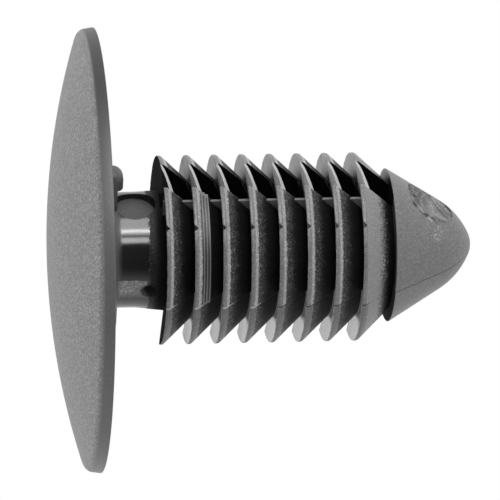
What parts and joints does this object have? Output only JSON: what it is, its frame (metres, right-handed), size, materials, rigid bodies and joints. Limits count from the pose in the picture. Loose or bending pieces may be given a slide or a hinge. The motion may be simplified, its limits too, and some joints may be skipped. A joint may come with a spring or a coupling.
{
  "type": "fir-tree trim clip",
  "caption": "One-piece moulded nylon push-in trim clip: a wide shallow domed head, a short neck, a stem of sloped ring fins with lengthways slots, and a blunt rounded nose",
  "frame": {"origin": "crown of the domed head, on the stem's axis: the lowest point of the clip as it stands on its head", "axes": "+Z along the stem from the head to the nose; +X along the mould's draw, where the open slot, the ribs and the pin marks face"},
  "size_m": [0.02, 0.02, 0.0191],
  "materials": {
    "nylon": "grey moulded nylon, satin on the head and neck, spark-textured on the fins"
  },
  "bodies": {
    "root": {"clip": "nylon"}
  },
  "joints": []
}
